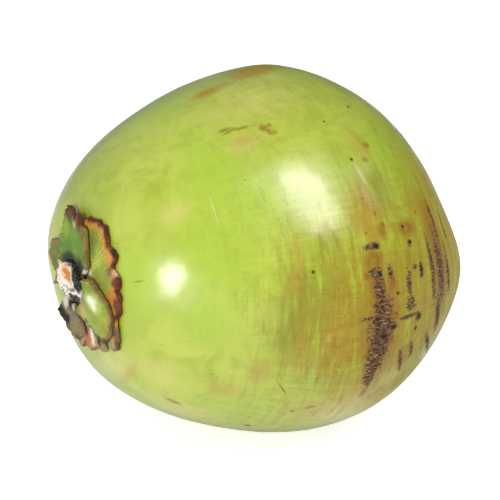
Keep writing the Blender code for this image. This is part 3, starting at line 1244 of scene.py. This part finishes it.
@dataclass(frozen=True)
class Tepal:
    """One tepal of the cap, to the same outline as its solid but with a finer, frayed rim.

    Angles are in degrees and lengths in metres. A notch is (turn, depth in mm, half width), and
    a curl is (turn, height in mm, half width) of a lump that the rim is rolled up into.
    """

    node: str
    slot: str
    finish: TepalFinish
    form: FruitForm
    layer: Layer
    facing: float
    half_fan: float
    reach: float
    notches: tuple[tuple[float, float, float], ...] = ()
    curls: tuple[tuple[float, float, float], ...] = ()
    half_width: float = 0.0
    sweep: float = 0.0
    lift: float = 0.0
    crown: float = 0.0
    crust: float = 0.4 * MM
    crust_reach: float = 1.8
    fray: float = 0.7 * MM
    fray_size: float = 5.0 * MM
    beads: float = 0.35 * MM
    bead_size: float = 2.0 * MM
    wave: float = 0.25 * MM
    wave_size: float = 12.0 * MM
    lump_size: float = 1.8 * MM
    margin_roll: float = 0.35 * MM
    columns: int = 220
    rows: int = 56
    rim_rounding: float = 0.03
    edge_round: float = 0.8 * MM
    vein_height: float = 0.08 * MM
    veins: int = 96
    row_spread: float = 0.8
    tip_from: float = 0.78
    tip_to: float = 0.92
    thinnest: float = 0.12 * MM

    def rim(self, aside: np.ndarray) -> np.ndarray:
        """Where the rim is.

        Args:
            aside: Angles from the middle line, in degrees.

        Returns:
            How far the rim reaches at each, in metres.
        """
        rim = self.reach * (1 - self.rim_rounding * (aside / self.half_fan) ** 4)
        if self.half_width:
            side = self.half_width / np.maximum(np.abs(np.sin(np.radians(aside))), 0.05)
            rim = (rim ** -6 + side ** -6) ** (-1 / 6)
        for turn, depth, half in self.notches:
            rim = rim - depth * MM * bell(self.facing + aside, turn, half)
        angles = np.radians(aside + self.facing)
        ring = np.stack([np.cos(angles), np.sin(angles), np.zeros_like(angles)], axis=-1) * self.reach
        frayed = self.fray * cloudy(ring, self.fray_size, 2, self.facing)
        beaded = self.beads * cloudy(ring, self.bead_size, 2, self.facing + 7)
        return rim + frayed + beaded

    def sheet(self, middle: np.ndarray) -> tuple[np.ndarray, np.ndarray, dict[str, np.ndarray]]:
        """The upper and lower faces, and what the finish reads on them.

        Args:
            middle: The fruit's middle in the frame.

        Returns:
            Two grids of points, and values by name.
        """
        across, along = np.meshgrid(np.linspace(-1, 1, self.columns + 1), np.linspace(0, 1, self.rows + 1))
        along = along ** self.row_spread
        aside = across * self.half_fan
        rim = self.rim(aside[0])[None, :]
        root = self.form.tepal_root
        reach = root + (rim - root) * along
        turn = np.radians(self.facing + aside + self.sweep * along)
        polar = self.form.polar_of_reach(reach)
        thick = self.form.tepal_thickness(reach)
        under = self.form.gap + self.layer.value * (self.form.gap + thick)
        grid = self.form.place(polar, turn).reshape(-1, 3)
        waves = cloudy(grid, self.wave_size, 2, self.facing).reshape(across.shape)
        under = under + self.lift * along ** 3 + self.wave * (waves + 1) * along ** 2

        rim_mm = (rim - reach) / MM
        side_mm = (1 - np.abs(across)) * np.radians(self.half_fan) * reach / MM
        middle_share, tip = np.abs(across), np.ones_like(across)
        if self.half_width:
            aside_mm = reach * np.abs(np.sin(np.radians(aside))) / MM
            half_mm = self.half_width / MM
            side_mm = np.minimum(side_mm, np.maximum(half_mm - aside_mm, 0))
            middle_share = np.minimum(aside_mm / half_mm, 1)
            outward = reach + (half_mm - aside_mm) * MM * 0.5
            tip = smooth_step(outward, self.tip_from * self.reach, self.tip_to * self.reach)
        root_mm = (reach - root) / MM
        edge = np.minimum(np.minimum(rim_mm, side_mm), root_mm + 0.3) * MM
        inset = np.clip(edge / self.edge_round, 0, 1)
        rounding = 0.30 + 0.70 * np.sqrt(1 - (1 - inset) ** 2)
        lumps = cloudy(grid, self.lump_size, 3, self.facing + 3).reshape(across.shape)
        crusty = bell(rim_mm, 0.8, self.crust_reach) * inset
        rolled = self.margin_roll * bell(side_mm, 0.7, 0.7) * inset
        for at, height, half in self.curls:
            near = bell(self.facing + aside, at, half) * bell(rim_mm, 1.2, 2.2)
            rolled = rolled + height * MM * near * inset * (1 + 0.5 * lumps)
        arch = np.sin(np.pi * np.clip(along * 0.96 + 0.04, 0, 1)) ** 0.7
        crown = self.crown * (1 - middle_share ** 2) * arch
        veins = self.vein_height * np.sin(self.veins * turn + 2.0 * waves) * smooth_step(root_mm, 2, 8)
        top = under + thick * rounding + crown + veins * inset + rolled
        top = top + self.crust * crusty * (0.6 + lumps)
        low = under + thick * 0.3 * (1 - rounding)
        upper = self.form.place(polar, turn, np.maximum(top, low + self.thinnest)) + middle
        lower = self.form.place(polar, turn, low) + middle
        values = {"rim_mm": rim_mm, "side_mm": side_mm, "root_mm": root_mm, "tip": tip, "hand": across}
        return upper, lower, values

    def build(self, middle: np.ndarray) -> bpy.types.Mesh:
        """Makes the tepal as one closed skin.

        Args:
            middle: The fruit's middle in the frame.

        Returns:
            The mesh.
        """
        upper, lower, values = self.sheet(middle)
        rows, columns = upper.shape[:2]
        count = rows * columns
        at = np.arange(count).reshape(rows, columns)
        quads = np.stack([at[:-1, :-1], at[:-1, 1:], at[1:, 1:], at[1:, :-1]], axis=-1).reshape(-1, 4)
        loop = np.concatenate([at[0, :-1], at[:-1, -1], at[-1, :0:-1], at[:0:-1, 0]])
        after = np.roll(loop, -1)
        walls = np.stack([after, loop, loop + count, after + count], axis=-1)
        faces = np.concatenate([quads, quads[:, ::-1] + count, walls])
        mesh = bpy.data.meshes.new(self.node + "_leaf")
        points = np.concatenate([upper.reshape(-1, 3), lower.reshape(-1, 3)])
        mesh.from_pydata(points.tolist(), [], faces.tolist())
        for name, value in values.items():
            write_values(mesh, name, np.concatenate([value.ravel(), value.ravel()]).astype(np.float32))
        face_outward(mesh)
        return mesh

    def dress(self, mesh: bpy.types.Mesh, effects: SharedEffects) -> bpy.types.Object:
        """Gives the tepal its finish and puts it in place of the solid."""
        return add_piece(mesh.name, mesh, self.finish.material(effects), self.node)


def face_outward(mesh: bpy.types.Mesh) -> None:
    """Turns a closed mesh's faces to point out.

    Args:
        mesh: The mesh.
    """
    shape = bmesh.new()
    shape.from_mesh(mesh)
    bmesh.ops.recalc_face_normals(shape, faces=shape.faces[:])
    if shape.calc_volume(signed=True) < 0:
        bmesh.ops.reverse_faces(shape, faces=shape.faces[:])
    shape.to_mesh(mesh)
    shape.free()


PETAL_FRONT = TepalFinish(
    "petal_front_leaf", base=(134, 146, 44), root=(96, 104, 36), vein=(104, 118, 34),
    light=(154, 166, 62), band=(192, 134, 42), ember=(124, 50, 22), rim=(54, 24, 14),
    margin=(136, 104, 76), low_margin=(120, 100, 84), hem=(96, 64, 44),
    dry=(116, 88, 54), band_mm=3.4, ember_mm=1.3, rim_mm=1.6, dryness=0.06,
    spots=(
        Spot((176, 186, 76), 13.8, 37, 5, 6.5, soft=0.9),
        Spot((116, 118, 44), 15.4, 57, 3.6, 6.5, soft=0.9),
        Spot((194, 140, 50), 20.2, 33, 1.8, 5, soft=0.7),
        Spot((122, 90, 60), 19.9, 22.5, 1.5, 3.6),
        Spot((206, 158, 126), 21.8, 20.8, 1.2, 2.6),
        Spot((98, 28, 12), 21.1, 13.8, 1.5, 3.4),
        Spot((40, 24, 16), 23.4, 34.4, 1, 4),
        Spot((186, 116, 42), 18.8, 3.4, 1.6, 5.6, soft=0.7),
        Spot((108, 54, 34), 21.3, -1, 1.4, 5),
        Spot((196, 134, 52), 20.8, -15, 1.5, 3, soft=0.7),
        Spot((112, 88, 72), 22.6, -22, 2, 5),
        Spot((150, 140, 102), 21.2, -36, 2.4, 7),
        Spot((214, 204, 186), 9.2, 30.5, 0.9, 4.5),
        Spot((152, 122, 74), 10.4, 20, 1.6, 2.2, soft=0.7),
        Spot((152, 122, 74), 13.2, 13, 2.4, 2, soft=0.7),
    ))
PETAL_BACK = TepalFinish(
    "petal_back_leaf", base=(96, 112, 50), root=(80, 84, 42), vein=(74, 88, 38),
    light=(118, 126, 62), band=(124, 112, 64), ember=(138, 104, 72), rim=(120, 88, 62),
    margin=(138, 112, 78), low_margin=(138, 112, 78), hem=(104, 84, 58),
    dry=(122, 102, 76), band_mm=2.0, rim_mm=1.0, dryness=0.15,
    spots=(Spot((226, 192, 146), 10.6, 165.0, 1.8, 8.0),))
PETAL_LOWER = TepalFinish(
    "petal_lower_leaf", base=(158, 130, 100), root=(110, 88, 68), vein=(116, 80, 56),
    light=(188, 166, 132), band=(176, 144, 100), ember=(140, 104, 72), rim=(112, 84, 60),
    margin=(130, 114, 96), low_margin=(132, 116, 84), hem=(98, 82, 60),
    dry=(96, 76, 58), band_mm=4.0, rim_mm=0.9, dryness=0.5, roughness=0.7,
    spots=(
        Spot((206, 158, 122), 13, -75.5, 1.8, 3.4),
        Spot((240, 228, 212), 14.6, -61, 2.6, 3.6),
        Spot((184, 112, 62), 15.8, -72.4, 2.2, 3),
        Spot((146, 138, 96), 20, -43.5, 2.2, 8),
        Spot((24, 19, 15), 17, -48, 1.8, 3.6),
    ))
SEPAL_TOP = TepalFinish(
    "sepal_top_leaf", base=(98, 134, 40), root=(50, 62, 22), vein=(78, 108, 32),
    light=(118, 150, 50), band=(118, 122, 44), ember=(104, 60, 32), rim=(70, 38, 24),
    margin=(150, 150, 96), low_margin=(150, 118, 80), hem=(112, 92, 58),
    dry=(110, 90, 44), band_mm=1.4, ember_mm=0.8, rim_mm=1.3, margin_mm=1.0, dryness=0.12,
    spots=(
        Spot((140, 158, 56), 13.8, 109, 2.6, 6, soft=0.9),
        Spot((96, 128, 42), 9.6, 108, 2.2, 14, soft=0.9),
        Spot((110, 90, 34), 15.2, 70, 2.2, 7, soft=0.8),
        Spot((112, 60, 28), 16.4, 80, 1.6, 5, soft=0.6),
        Spot((146, 108, 62), 13.8, 60, 1.8, 3, soft=0.7),
        Spot((118, 98, 46), 11.6, 51, 2, 5, soft=0.7),
        Spot((78, 42, 20), 18.4, 97.5, 2.4, 7.5),
        Spot((84, 46, 18), 17.9, 79, 2, 4.4),
        Spot((206, 156, 118), 15.7, 88.8, 0.9, 2.4),
        # Two near-black spots at the root: painted shadow along the stem scar's upper edge.
        Spot((26, 24, 8), 6.9, 104, 1.4, 28),
        Spot((34, 30, 22), 7.4, 46, 1.7, 18),
        Spot((214, 204, 182), 8.8, 33, 0.8, 5),
    ))
SEPAL_FRONT = TepalFinish(
    "sepal_front_leaf", base=(132, 148, 30), root=(118, 132, 26), vein=(112, 128, 26),
    light=(150, 168, 48), band=(140, 128, 44), ember=(116, 86, 48), rim=(88, 66, 42),
    margin=(128, 98, 56), low_margin=(176, 160, 112), hem=(156, 122, 76),
    dry=(112, 86, 54), band_mm=1.6, ember_mm=0.8, rim_mm=0.8, margin_mm=2.8, hem_mm=0.5,
    dryness=0.02, roughness=0.38, gloss=0.15,
    spots=(
        Spot((190, 158, 92), 9, -38, 2, 10, soft=0.8),
        # A pale streak of three spots across the lens: painted highlight.
        Spot((214, 228, 160), 12.2, -8, 3, 7.5, soft=0.9),
        Spot((240, 248, 222), 11.6, -7, 1.5, 4.4, soft=0.8),
        Spot((232, 242, 200), 13.4, -12.4, 1, 3, soft=0.8),
        Spot((138, 140, 28), 18.8, -23, 1.9, 5, soft=0.8),
        Spot((128, 104, 44), 20.7, -25.4, 0.9, 4.6),
        Spot((42, 34, 24), 11.4, -43, 0.7, 3.4),
        Spot((52, 42, 28), 13.4, -45, 0.8, 3.4),
        Spot((36, 28, 20), 15.9, -43.4, 1, 3.4),
        Spot((22, 18, 14), 18, -37.6, 1.5, 4),
        Spot((60, 52, 30), 19.8, -33, 0.9, 3),
    ))
SEPAL_LOWER = TepalFinish(
    "sepal_lower_leaf", base=(126, 112, 94), root=(96, 86, 74), vein=(94, 80, 62),
    light=(146, 130, 108), band=(116, 100, 76), ember=(92, 78, 58), rim=(66, 54, 42),
    margin=(124, 108, 82), low_margin=(40, 32, 26), hem=(72, 60, 46),
    dry=(84, 70, 54), band_mm=1.6, rim_mm=0.7, margin_mm=1.0, dryness=0.5, roughness=0.8,
    spots=(
        Spot((216, 212, 192), 8, -128, 2.2, 9),
        Spot((196, 190, 172), 6.4, -92, 1.4, 7),
        Spot((44, 40, 34), 6.4, -108, 1.6, 7),
        # Three near-black spots along the lower rim: painted shadow where the rim lifts off the petal
        # beneath.
        Spot((24, 19, 14), 13.4, -135, 1.8, 7),
        Spot((18, 14, 10), 12.8, -124.5, 1.6, 8),
        Spot((18, 14, 10), 12.2, -113, 1.5, 7),
        Spot((136, 126, 76), 12.2, -90, 2, 12, soft=0.8),
        Spot((144, 126, 92), 12.6, -70, 2, 8, soft=0.8),
        Spot((104, 78, 52), 14.4, -84, 0.9, 4),
    ))


@dataclass(frozen=True)
class Cap:
    """The cap at the stem end: three petals under three sepals."""

    form: FruitForm

    def tepals(self) -> tuple[Tepal, ...]:
        """The six tepals, to the outlines of their solids.

        Returns:
            The tepals.
        """
        form = self.form
        return (
            Tepal("petal_front", "petals", PETAL_FRONT, form, Layer.PETAL, 20, 57, 40.4 * MM,
                  ((88, 8.8, 18), (66, 0.8, 6), (50, -0.5, 5), (40, 2.8, 3.2), (32, -1.2, 4),
                   (24, 3.0, 4.0), (8, 1.8, 3.0), (-2, 0.8, 5), (-13, 2.2, 4.0), (-33, -2.2, 9)),
                  ((32, 0.9, 4.0), (12, 0.5, 3.0)), crust=0.6 * MM, fray=0.4 * MM, beads=0.7 * MM,
                  columns=340),
            Tepal("petal_back", "petals", PETAL_BACK, form, Layer.PETAL, 140, 57, 31.0 * MM,
                  ((90, 3.0, 9), (122, 6.0, 12), (141, 5.0, 8), (160, 1.0, 5), (184, 7.0, 10))),
            Tepal("petal_lower", "dry_petals", PETAL_LOWER, form, Layer.PETAL, -90, 48, 32.2 * MM,
                  ((-46, -5.0, 7), (-62, 0.5, 4), (-79, 3.6, 5), (-100, 2.5, 5), (-132, 4.0, 12)),
                  fray=1.0 * MM, wave=0.4 * MM, crust=0.6 * MM, crust_reach=4.0),
            Tepal("sepal_top", "sepals", SEPAL_TOP, form, Layer.SEPAL, 84, 58, 34.8 * MM,
                  ((77.0, 4.6, 3.4), (64, 2.6, 6), (86.5, -1.0, 3.5), (104, 6.0, 8), (122, 7.0, 14)),
                  ((87, 1.5, 5.0), (66, 1.2, 3.5)), half_width=15.6 * MM, sweep=12, crown=0.4 * MM,
                  crust=0.6 * MM, beads=0.5 * MM),
            Tepal("sepal_front", "sepals", SEPAL_FRONT, form, Layer.SEPAL, -18, 42, 37.5 * MM,
                  ((-4, 1.0, 3), (-48, 6.0, 16)), half_width=12.4 * MM, sweep=-4, crown=2.0 * MM,
                  fray=0.4 * MM, margin_roll=0.5 * MM, vein_height=0.03 * MM),
            Tepal("sepal_lower", "dry_sepals", SEPAL_LOWER, form, Layer.SEPAL, -108, 34, 26.2 * MM,
                  ((-142, -1.2, 6), (-124, 2.0, 4.5), (-106, 1.5, 4)), half_width=17.0 * MM, sweep=6,
                  lift=1.2 * MM, fray=1.0 * MM, wave=0.5 * MM, crust=0.6 * MM, crust_reach=5.0),
        )


@dataclass(frozen=True)
class StemScar:
    """The broken end of the stalk in the middle of the cap, higher on its upper side."""

    form: FruitForm
    finish: ScarFinish = ScarFinish()
    radius: float = 9.4 * MM
    height: float = 7.4 * MM
    slant: float = 2.6 * MM
    high_side: float = math.radians(125)
    hollow: float = 1.2 * MM
    hollow_reach: float = 4.5 * MM
    squareness: float = 0.4
    sides: int = 240
    rings: int = 150
    splinters: float = 0.7 * MM
    splinter_size: float = 2.2 * MM
    ridge_size: float = 5.0 * MM
    grooves: int = 34

    @staticmethod
    def stains(side: np.ndarray, up: np.ndarray, above: np.ndarray) -> dict[str, np.ndarray]:
        """Where the orange heart is, and where the black is: mould, and painted shade on the side walls.

        Args:
            side: Places across the scar, -1 to 1.
            up: Places up the scar, -1 to 1.
            above: 1 on the broken end, falling to 0 on the sides.

        Returns:
            A share for each place, by name.
        """
        heart = bell(np.hypot(side - 0.10, (up - 0.52) * 0.8), 0, 0.42) * above
        # Black on the front: mould on the end face, running down the front side wall as painted shade.
        mould_and_shade = 0.9 * smooth_step(side, 0.38, 0.62) * smooth_step(up, -0.5, 0.0)
        mould_and_shade += 0.9 * smooth_step(-up, 0.42, 0.62) * smooth_step(side, -0.25, 0.05) * above
        mould_and_shade -= 1.5 * smooth_step(side, 0.3, 0.6) * smooth_step(-up, -0.1, 0.1) * (1 - above)
        mould_and_shade += 0.25 * smooth_step(-up, -0.2, 0.3) * above
        # Black along the upper side wall: painted shade.
        mould_and_shade += 0.7 * smooth_step(up, 0.0, 0.4) * (1 - above)
        return {"heart": heart, "mould_and_shade": mould_and_shade}

    def build(self, middle: np.ndarray) -> bpy.types.Mesh:
        """Makes the scar's mesh in place.

        Args:
            middle: The fruit's middle in the frame.

        Returns:
            The mesh.
        """
        mesh = bpy.data.meshes.new("stem_scar_wood")
        polar, turn = ball_angles(mesh, self.sides, self.rings)
        lobes = 1 + 0.04 * np.cos(3 * turn + 1) + 0.02 * np.cos(7 * turn)
        share = np.abs(np.sin(polar)) ** self.squareness
        level = np.copysign(np.abs(np.cos(polar)) ** self.squareness, np.cos(polar))
        reach = self.radius * lobes * share
        tall = self.height + self.slant * np.cos(turn - self.high_side) * reach / self.radius
        rise = self.form.gap + tall * (1 + level) / 2
        above = np.clip(level, 0, 1)
        rise -= self.hollow * bell(reach, 0, self.hollow_reach) * (level > 0)
        plain = self.form.place(self.form.polar_of_reach(reach), turn, rise)
        rough = cloudy(plain, self.splinter_size, 4, 4.0)
        ridges = np.abs(cloudy(plain, self.ridge_size, 2, 8.0))
        rise += above * self.splinters * (rough - 1.4 * ridges)
        furrows = 0.6 + np.sin(self.grooves * turn + 3 * rough)
        reach = reach - self.splinters * 0.5 * share * furrows * (1 - above)
        points = self.form.place(self.form.polar_of_reach(np.maximum(reach, 0)), turn, rise) + middle
        write_points(mesh, points)
        side, up = reach * np.cos(turn) / self.radius, reach * np.sin(turn) / self.radius
        for name, shares in self.stains(side, up, above).items():
            write_values(mesh, name, shares)
        return mesh

    def dress(self, mesh: bpy.types.Mesh, effects: SharedEffects) -> bpy.types.Object:
        """Gives the scar its finish and puts it in place of the solid."""
        return add_piece("stem_scar_wood", mesh, self.finish.material(effects), "stem_scar")


@dataclass(frozen=True)
class Lamp:
    """A soft lamp that shows in the skin where the photograph's highlights are.

    Azimuth and elevation give the way from its target to the lamp: azimuth 0 is from -Y and
    90 from +X, in degrees. The target is a place on the skin, from the fruit's middle.
    """

    name: str
    azimuth: float
    elevation: float
    away: float
    width: float
    height: float
    watts: float
    target: tuple[float, float, float]
    round_shape: bool = False
    roll: float = 0.0

    def build(self, middle: Vector) -> bpy.types.Object:
        """Hangs the lamp, aimed at its target.

        Args:
            middle: The fruit's middle in the frame.

        Returns:
            The lamp.
        """
        light = bpy.data.lights.new(self.name, "AREA")
        light.shape = "ELLIPSE" if self.round_shape else "RECTANGLE"
        light.size = self.width
        light.size_y = self.height
        light.energy = self.watts
        lamp = bpy.data.objects.new(self.name, light)
        way = direction(self.azimuth, self.elevation)
        lamp.location = middle + Vector(self.target) + way * self.away
        lamp.rotation_mode = "QUATERNION"
        facing = (-way).to_track_quat("-Z", "Y")
        lamp.rotation_quaternion = facing @ Matrix.Rotation(math.radians(self.roll), 3, "Z").to_quaternion()
        bpy.context.scene.collection.objects.link(lamp)
        return lamp


def direction(azimuth: float, elevation: float) -> Vector:
    """The way to something at an azimuth from -Y toward +X and an elevation, in degrees."""
    a, e = math.radians(azimuth), math.radians(elevation)
    return Vector((math.sin(a) * math.cos(e), -math.cos(a) * math.cos(e), math.sin(e)))


@dataclass(frozen=True)
class Studio:
    """The pale floor, the soft lamps and the camera at the photograph's view."""

    azimuth: float = -31.11
    elevation: float = 16.43
    away: float = 0.6863
    lens_mm: float = 100.0
    sensor_mm: float = 36.0
    picture_pixels: int = 500
    right_pixels: float = 9.02
    down_pixels: float = 0.94
    clip_start: float = 0.01
    clip_end: float = 50.0
    floor_radius: float = 14.0
    floor_drop: float = 0.2 * MM
    sky_dim: float = 0.10
    sky_bright: float = 0.85
    sky_azimuth: float = -85.0
    sky_elevation: float = 12.0
    sky_falloff: float = 1.5
    lamps: tuple[Lamp, ...] = (
        Lamp("round_lamp", -58.6, 5.6, 0.95, 0.19, 0.38, 4.9, (-0.0792, -0.0566, 0.0131), True),
        Lamp("soft_box", 18.1, 52.6, 1.3, 0.40, 0.72, 9.5, (-0.0218, -0.0707, 0.0459), roll=-25.0),
        Lamp("strip", 62.5, 39.5, 1.1, 0.03, 0.36, 1.5, (0.0100, -0.0746, 0.0457), roll=-40.0),
        Lamp("top_haze", 25.0, 66.0, 1.3, 0.45, 0.35, 2.4, (-0.0183, -0.0650, 0.0536)),
    )

    def light(self, middle: Vector) -> None:
        """Hangs the lamps and sets the sky.

        Args:
            middle: The fruit's middle in the frame.
        """
        for lamp in self.lamps:
            lamp.build(middle)
        world = bpy.data.worlds.new("pale_room")
        world.use_nodes = True
        sky = world.node_tree.nodes["Background"]
        sky.inputs["Color"].default_value = (1.0, 1.0, 1.0, 1.0)
        graph = Graph(world.node_tree)
        way = graph.output("Generated", "ShaderNodeTexCoord")
        bright = tuple(direction(self.sky_azimuth, self.sky_elevation))
        toward = graph.vector("DOT_PRODUCT", way, bright) * 0.5 + 0.5
        share = graph.math("POWER", toward, self.sky_falloff)
        graph.feed(sky.inputs["Strength"], share.span(self.sky_dim, self.sky_bright))
        bpy.context.scene.world = world
        bpy.context.scene.view_settings.view_transform = "Standard"

    def floor(self) -> bpy.types.Object:
        """Lays the floor under the fruit.

        Returns:
            The floor.
        """
        sheet = bmesh.new()
        bmesh.ops.create_circle(sheet, cap_ends=True, segments=64, radius=self.floor_radius)
        mesh = bpy.data.meshes.new("floor")
        sheet.to_mesh(mesh)
        sheet.free()
        mesh.materials.append(FloorFinish().material())
        laid = bpy.data.objects.new("floor", mesh)
        laid.location.z = -self.floor_drop
        bpy.context.scene.collection.objects.link(laid)
        return laid

    def camera(self, middle: Vector) -> bpy.types.Object:
        """Sets the camera so that the fruit's middle falls where the photograph has it.

        Args:
            middle: The fruit's middle in the frame.

        Returns:
            The camera.
        """
        data = bpy.data.cameras.new("photo_view")
        data.lens = self.lens_mm
        data.sensor_width = self.sensor_mm
        data.clip_start = self.clip_start
        data.clip_end = self.clip_end
        back = direction(self.azimuth, self.elevation)
        right = Vector((0, 0, 1)).cross(back).normalized()
        up = back.cross(right)
        pixel = self.away * self.sensor_mm / (self.lens_mm * self.picture_pixels)
        camera = bpy.data.objects.new("photo_view", data)
        aside = up * (self.down_pixels * pixel) - right * (self.right_pixels * pixel)
        camera.location = middle + back * self.away + aside
        camera.rotation_mode = "QUATERNION"
        camera.rotation_quaternion = (-back).to_track_quat("-Z", "Y")
        bpy.context.scene.collection.objects.link(camera)
        bpy.context.scene.camera = camera
        return camera


def main() -> None:
    """Builds the coconut's pieces in order, then the studio round them."""
    logging.basicConfig(level=logging.INFO, format="%(name)s: %(message)s")
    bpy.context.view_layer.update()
    form = FruitForm()
    middle = form.middle()
    effects = SharedEffects(middle)
    for part in (Husk(form), StemScar(form), *Cap(form).tepals()):
        piece = part.dress(part.build(middle), effects)
        LOG.info("%s: %d faces", piece.name, len(piece.data.polygons))
    studio = Studio()
    studio.floor()
    studio.light(Vector(middle))
    studio.camera(Vector(middle))


if __name__ == "__main__":
    main()
